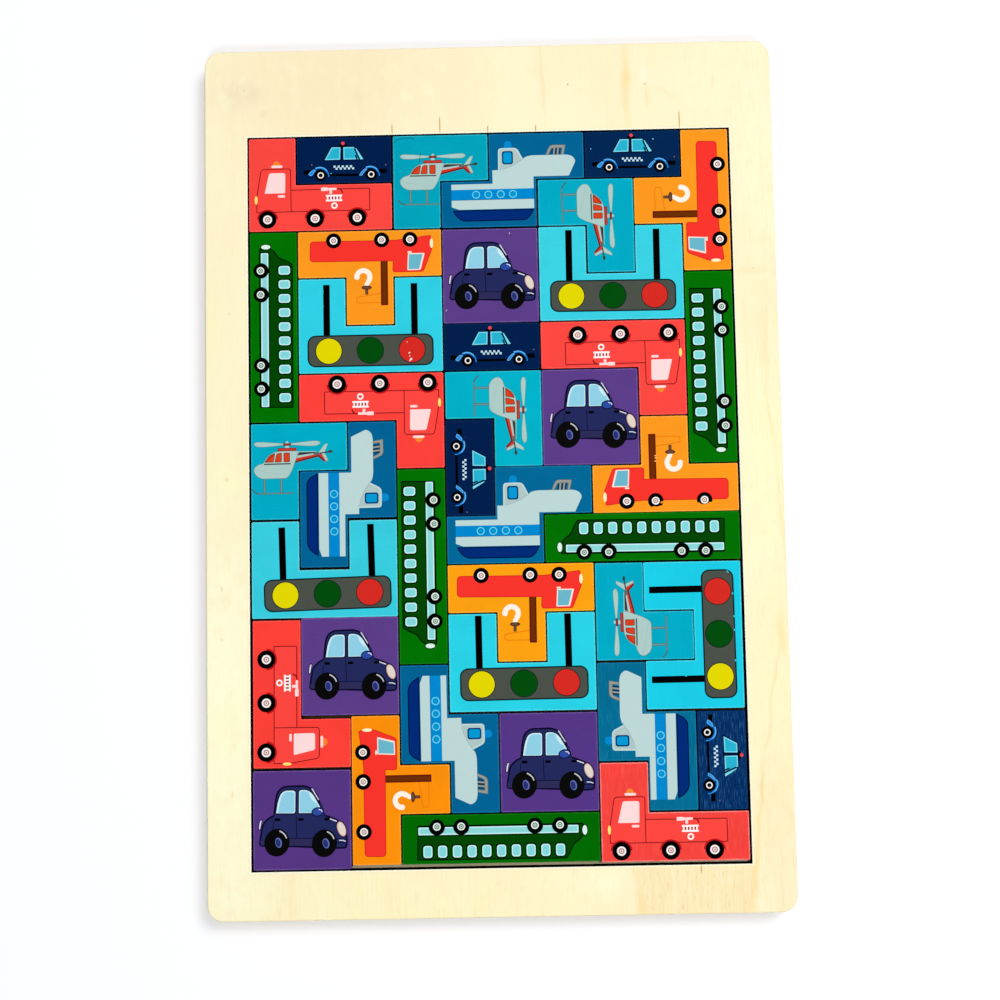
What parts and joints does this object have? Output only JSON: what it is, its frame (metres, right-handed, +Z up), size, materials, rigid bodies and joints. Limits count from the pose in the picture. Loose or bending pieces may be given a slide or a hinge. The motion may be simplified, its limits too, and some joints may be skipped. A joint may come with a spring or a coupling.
{
  "type": "wooden block puzzle",
  "caption": "Flat wooden tray with a rectangular recess filled edge to edge by painted, printed blocks made of joined squares; each block lifts out to be fitted together again.",
  "frame": {"origin": "centre of the tray's underside", "axes": "+X across the tray to the right, +Y along the tray to its wide margin, +Z up out of the recess"},
  "size_m": [0.1774, 0.269, 0.008],
  "materials": {
    "tray_wood": "bare sanded plywood",
    "coral_block": "satin paint with print",
    "navy_block": "satin paint with print",
    "teal_block": "satin paint with print",
    "blue_block": "satin paint with print",
    "orange_block": "satin paint with print",
    "green_block": "satin paint with print",
    "purple_block": "satin paint with print",
    "cyan_block": "satin paint with print"
  },
  "bodies": {
    "tray": {"tray_base": "tray_wood", "tray_frame": "tray_wood"},
    "fire_truck_block_1": {"fire_truck_1": "coral_block"},
    "fire_truck_block_2": {"fire_truck_2": "coral_block"},
    "fire_truck_block_3": {"fire_truck_3": "coral_block"},
    "fire_truck_block_4": {"fire_truck_4": "coral_block"},
    "fire_truck_block_5": {"fire_truck_5": "coral_block"},
    "police_car_block_1": {"police_car_1": "navy_block"},
    "police_car_block_2": {"police_car_2": "navy_block"},
    "police_car_block_3": {"police_car_3": "navy_block"},
    "police_car_block_4": {"police_car_4": "navy_block"},
    "police_car_block_5": {"police_car_5": "navy_block"},
    "helicopter_block_1": {"helicopter_1": "teal_block"},
    "helicopter_block_2": {"helicopter_2": "teal_block"},
    "helicopter_block_3": {"helicopter_3": "teal_block"},
    "helicopter_block_4": {"helicopter_4": "teal_block"},
    "helicopter_block_5": {"helicopter_5": "teal_block"},
    "ship_block_1": {"ship_1": "blue_block"},
    "ship_block_2": {"ship_2": "blue_block"},
    "ship_block_3": {"ship_3": "blue_block"},
    "ship_block_4": {"ship_4": "blue_block"},
    "ship_block_5": {"ship_5": "blue_block"},
    "crane_truck_block_1": {"crane_truck_1": "orange_block"},
    "crane_truck_block_2": {"crane_truck_2": "orange_block"},
    "crane_truck_block_3": {"crane_truck_3": "orange_block"},
    "crane_truck_block_4": {"crane_truck_4": "orange_block"},
    "crane_truck_block_5": {"crane_truck_5": "orange_block"},
    "bus_block_1": {"bus_1": "green_block"},
    "bus_block_2": {"bus_2": "green_block"},
    "bus_block_3": {"bus_3": "green_block"},
    "bus_block_4": {"bus_4": "green_block"},
    "bus_block_5": {"bus_5": "green_block"},
    "car_block_1": {"car_1": "purple_block"},
    "car_block_2": {"car_2": "purple_block"},
    "car_block_3": {"car_3": "purple_block"},
    "car_block_4": {"car_4": "purple_block"},
    "car_block_5": {"car_5": "purple_block"},
    "traffic_light_block_1": {"traffic_light_1": "cyan_block"},
    "traffic_light_block_2": {"traffic_light_2": "cyan_block"},
    "traffic_light_block_3": {"traffic_light_3": "cyan_block"},
    "traffic_light_block_4": {"traffic_light_4": "cyan_block"},
    "traffic_light_block_5": {"traffic_light_5": "cyan_block"}
  },
  "joints": [
    {"name": "fire_truck_1_lift", "type": "slide", "parent": "tray", "child": "fire_truck_block_1", "axis": [0, 0, 1], "range_m": [0, 0.03]},
    {"name": "fire_truck_2_lift", "type": "slide", "parent": "tray", "child": "fire_truck_block_2", "axis": [0, 0, 1], "range_m": [0, 0.03]},
    {"name": "fire_truck_3_lift", "type": "slide", "parent": "tray", "child": "fire_truck_block_3", "axis": [0, 0, 1], "range_m": [0, 0.03]},
    {"name": "fire_truck_4_lift", "type": "slide", "parent": "tray", "child": "fire_truck_block_4", "axis": [0, 0, 1], "range_m": [0, 0.03]},
    {"name": "fire_truck_5_lift", "type": "slide", "parent": "tray", "child": "fire_truck_block_5", "axis": [0, 0, 1], "range_m": [0, 0.03]},
    {"name": "police_car_1_lift", "type": "slide", "parent": "tray", "child": "police_car_block_1", "axis": [0, 0, 1], "range_m": [0, 0.03]},
    {"name": "police_car_2_lift", "type": "slide", "parent": "tray", "child": "police_car_block_2", "axis": [0, 0, 1], "range_m": [0, 0.03]},
    {"name": "police_car_3_lift", "type": "slide", "parent": "tray", "child": "police_car_block_3", "axis": [0, 0, 1], "range_m": [0, 0.03]},
    {"name": "police_car_4_lift", "type": "slide", "parent": "tray", "child": "police_car_block_4", "axis": [0, 0, 1], "range_m": [0, 0.03]},
    {"name": "police_car_5_lift", "type": "slide", "parent": "tray", "child": "police_car_block_5", "axis": [0, 0, 1], "range_m": [0, 0.03]},
    {"name": "helicopter_1_lift", "type": "slide", "parent": "tray", "child": "helicopter_block_1", "axis": [0, 0, 1], "range_m": [0, 0.03]},
    {"name": "helicopter_2_lift", "type": "slide", "parent": "tray", "child": "helicopter_block_2", "axis": [0, 0, 1], "range_m": [0, 0.03]},
    {"name": "helicopter_3_lift", "type": "slide", "parent": "tray", "child": "helicopter_block_3", "axis": [0, 0, 1], "range_m": [0, 0.03]},
    {"name": "helicopter_4_lift", "type": "slide", "parent": "tray", "child": "helicopter_block_4", "axis": [0, 0, 1], "range_m": [0, 0.03]},
    {"name": "helicopter_5_lift", "type": "slide", "parent": "tray", "child": "helicopter_block_5", "axis": [0, 0, 1], "range_m": [0, 0.03]},
    {"name": "ship_1_lift", "type": "slide", "parent": "tray", "child": "ship_block_1", "axis": [0, 0, 1], "range_m": [0, 0.03]},
    {"name": "ship_2_lift", "type": "slide", "parent": "tray", "child": "ship_block_2", "axis": [0, 0, 1], "range_m": [0, 0.03]},
    {"name": "ship_3_lift", "type": "slide", "parent": "tray", "child": "ship_block_3", "axis": [0, 0, 1], "range_m": [0, 0.03]},
    {"name": "ship_4_lift", "type": "slide", "parent": "tray", "child": "ship_block_4", "axis": [0, 0, 1], "range_m": [0, 0.03]},
    {"name": "ship_5_lift", "type": "slide", "parent": "tray", "child": "ship_block_5", "axis": [0, 0, 1], "range_m": [0, 0.03]},
    {"name": "crane_truck_1_lift", "type": "slide", "parent": "tray", "child": "crane_truck_block_1", "axis": [0, 0, 1], "range_m": [0, 0.03]},
    {"name": "crane_truck_2_lift", "type": "slide", "parent": "tray", "child": "crane_truck_block_2", "axis": [0, 0, 1], "range_m": [0, 0.03]},
    {"name": "crane_truck_3_lift", "type": "slide", "parent": "tray", "child": "crane_truck_block_3", "axis": [0, 0, 1], "range_m": [0, 0.03]},
    {"name": "crane_truck_4_lift", "type": "slide", "parent": "tray", "child": "crane_truck_block_4", "axis": [0, 0, 1], "range_m": [0, 0.03]},
    {"name": "crane_truck_5_lift", "type": "slide", "parent": "tray", "child": "crane_truck_block_5", "axis": [0, 0, 1], "range_m": [0, 0.03]},
    {"name": "bus_1_lift", "type": "slide", "parent": "tray", "child": "bus_block_1", "axis": [0, 0, 1], "range_m": [0, 0.03]},
    {"name": "bus_2_lift", "type": "slide", "parent": "tray", "child": "bus_block_2", "axis": [0, 0, 1], "range_m": [0, 0.03]},
    {"name": "bus_3_lift", "type": "slide", "parent": "tray", "child": "bus_block_3", "axis": [0, 0, 1], "range_m": [0, 0.03]},
    {"name": "bus_4_lift", "type": "slide", "parent": "tray", "child": "bus_block_4", "axis": [0, 0, 1], "range_m": [0, 0.03]},
    {"name": "bus_5_lift", "type": "slide", "parent": "tray", "child": "bus_block_5", "axis": [0, 0, 1], "range_m": [0, 0.03]},
    {"name": "car_1_lift", "type": "slide", "parent": "tray", "child": "car_block_1", "axis": [0, 0, 1], "range_m": [0, 0.03]},
    {"name": "car_2_lift", "type": "slide", "parent": "tray", "child": "car_block_2", "axis": [0, 0, 1], "range_m": [0, 0.03]},
    {"name": "car_3_lift", "type": "slide", "parent": "tray", "child": "car_block_3", "axis": [0, 0, 1], "range_m": [0, 0.03]},
    {"name": "car_4_lift", "type": "slide", "parent": "tray", "child": "car_block_4", "axis": [0, 0, 1], "range_m": [0, 0.03]},
    {"name": "car_5_lift", "type": "slide", "parent": "tray", "child": "car_block_5", "axis": [0, 0, 1], "range_m": [0, 0.03]},
    {"name": "traffic_light_1_lift", "type": "slide", "parent": "tray", "child": "traffic_light_block_1", "axis": [0, 0, 1], "range_m": [0, 0.03]},
    {"name": "traffic_light_2_lift", "type": "slide", "parent": "tray", "child": "traffic_light_block_2", "axis": [0, 0, 1], "range_m": [0, 0.03]},
    {"name": "traffic_light_3_lift", "type": "slide", "parent": "tray", "child": "traffic_light_block_3", "axis": [0, 0, 1], "range_m": [0, 0.03]},
    {"name": "traffic_light_4_lift", "type": "slide", "parent": "tray", "child": "traffic_light_block_4", "axis": [0, 0, 1], "range_m": [0, 0.03]},
    {"name": "traffic_light_5_lift", "type": "slide", "parent": "tray", "child": "traffic_light_block_5", "axis": [0, 0, 1], "range_m": [0, 0.03]}
  ]
}
